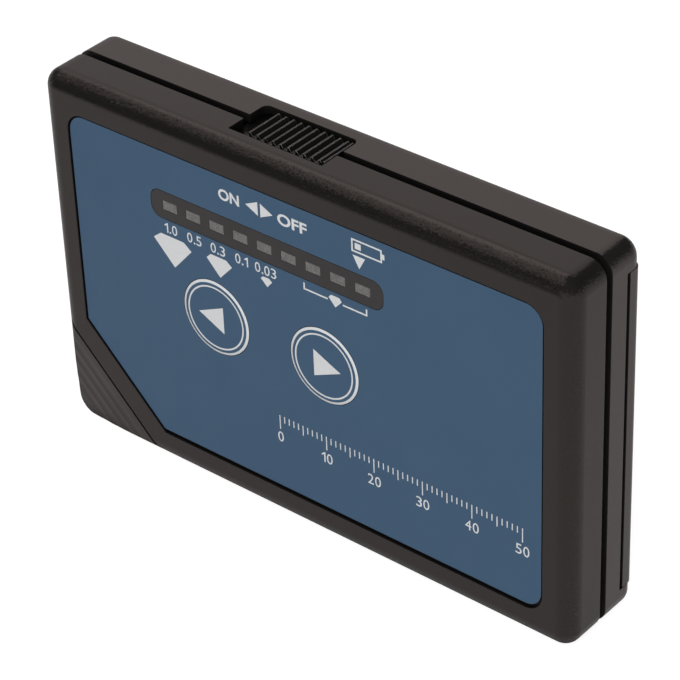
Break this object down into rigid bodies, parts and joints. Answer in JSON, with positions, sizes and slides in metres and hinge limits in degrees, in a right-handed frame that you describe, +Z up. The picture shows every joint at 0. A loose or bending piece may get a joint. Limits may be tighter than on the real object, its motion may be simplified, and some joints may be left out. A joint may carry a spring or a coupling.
{
  "type": "diamond tester",
  "caption": "Flat hand-held thermal gem tester: black plastic case, printed blue front with push keys and an indicator row, slide switch, battery door and a pull-off corner cap over its probe.",
  "frame": {"origin": "under the middle of the case, on the surface that its long bottom edge stands on", "axes": "+X across the front to the right, +Y from front to back, +Z up the front"},
  "size_m": [0.109, 0.0172, 0.0705],
  "materials": {
    "case_plastic": "satin black with a fine moulded grain",
    "slider_plastic": "satin black",
    "overlay_film": "satin printed film, slate blue",
    "print_ink": "white screen print",
    "smoked_window": "smoked film",
    "lamp_lens": "grey diffusing plastic",
    "board_laminate": "green solder mask",
    "black_component": "moulded black",
    "light_component": "natural nylon",
    "blue_component": "blue moulding",
    "cell_jacket": "shrink sleeve",
    "plated_steel": "nickel plated",
    "screw_steel": "zinc plated",
    "nose_metal": "turned",
    "tip_copper": "bare copper",
    "red_insulation": "wire insulation",
    "black_insulation": "wire insulation"
  },
  "bodies": {
    "case": {"front_shell": "case_plastic", "back_shell": "case_plastic", "overlay_panel": "overlay_film", "indicator_window": "smoked_window", "led_1": "lamp_lens", "led_2": "lamp_lens", "led_3": "lamp_lens", "led_4": "lamp_lens", "led_5": "lamp_lens", "led_6": "lamp_lens", "led_7": "lamp_lens", "led_8": "lamp_lens", "led_9": "lamp_lens", "circuit_board": "board_laminate", "left_tact_switch": "black_component", "right_tact_switch": "black_component", "slide_switch_body": "plated_steel", "driver_chip": "black_component", "amplifier_chip": "black_component", "trimmer": "blue_component", "filter_capacitor": "blue_component", "buzzer": "black_component", "probe_connector": "light_component", "battery_cell_1": "cell_jacket", "battery_cell_2": "cell_jacket", "battery_cell_3": "cell_jacket", "positive_terminal": "plated_steel", "negative_terminal": "plated_steel", "top_bridge": "plated_steel", "bottom_bridge": "plated_steel", "battery_spring_1": "plated_steel", "battery_spring_2": "plated_steel", "battery_spring_3": "plated_steel", "positive_lead": "red_insulation", "negative_lead": "black_insulation", "probe_sleeve": "case_plastic", "probe_nose": "nose_metal", "probe_spring": "plated_steel", "probe_plug": "light_component", "probe_leads": "red_insulation", "case_screws": "screw_steel", "board_screws": "screw_steel"},
    "power_slide": {"power_slider": "slider_plastic", "switch_lever": "light_component"},
    "left_button": {"left_key": "overlay_film", "left_tact_stem": "black_component"},
    "right_button": {"right_key": "overlay_film", "right_tact_stem": "black_component"},
    "door": {"battery_door": "case_plastic"},
    "cap": {"probe_cap": "case_plastic"},
    "tip": {"probe_tip": "tip_copper"}
  },
  "joints": [
    {"name": "power_slider_slide", "type": "slide", "parent": "case", "child": "power_slide", "axis": [-1, 0, 0], "range_m": [0, 0.0032]},
    {"name": "left_key_press", "type": "slide", "parent": "case", "child": "left_button", "axis": [0, 1, 0], "range_m": [0, 0.00035], "stiffness_N_per_m": 400, "springref_m": -0.0002},
    {"name": "right_key_press", "type": "slide", "parent": "case", "child": "right_button", "axis": [0, 1, 0], "range_m": [0, 0.00035], "stiffness_N_per_m": 400, "springref_m": -0.0002},
    {"name": "battery_door_slide", "type": "slide", "parent": "case", "child": "door", "axis": [1, 0, 0], "range_m": [0, 0.04]},
    {"name": "probe_cap_pull", "type": "slide", "parent": "case", "child": "cap", "axis": [-0.7071, 0, -0.7071], "range_m": [0, 0.022]},
    {"name": "probe_tip_press", "type": "slide", "parent": "case", "child": "tip", "axis": [0.7071, 0, 0.7071], "range_m": [0, 0.0015], "stiffness_N_per_m": 300, "springref_m": -0.0005, "deforming": ["probe_spring"]}
  ]
}
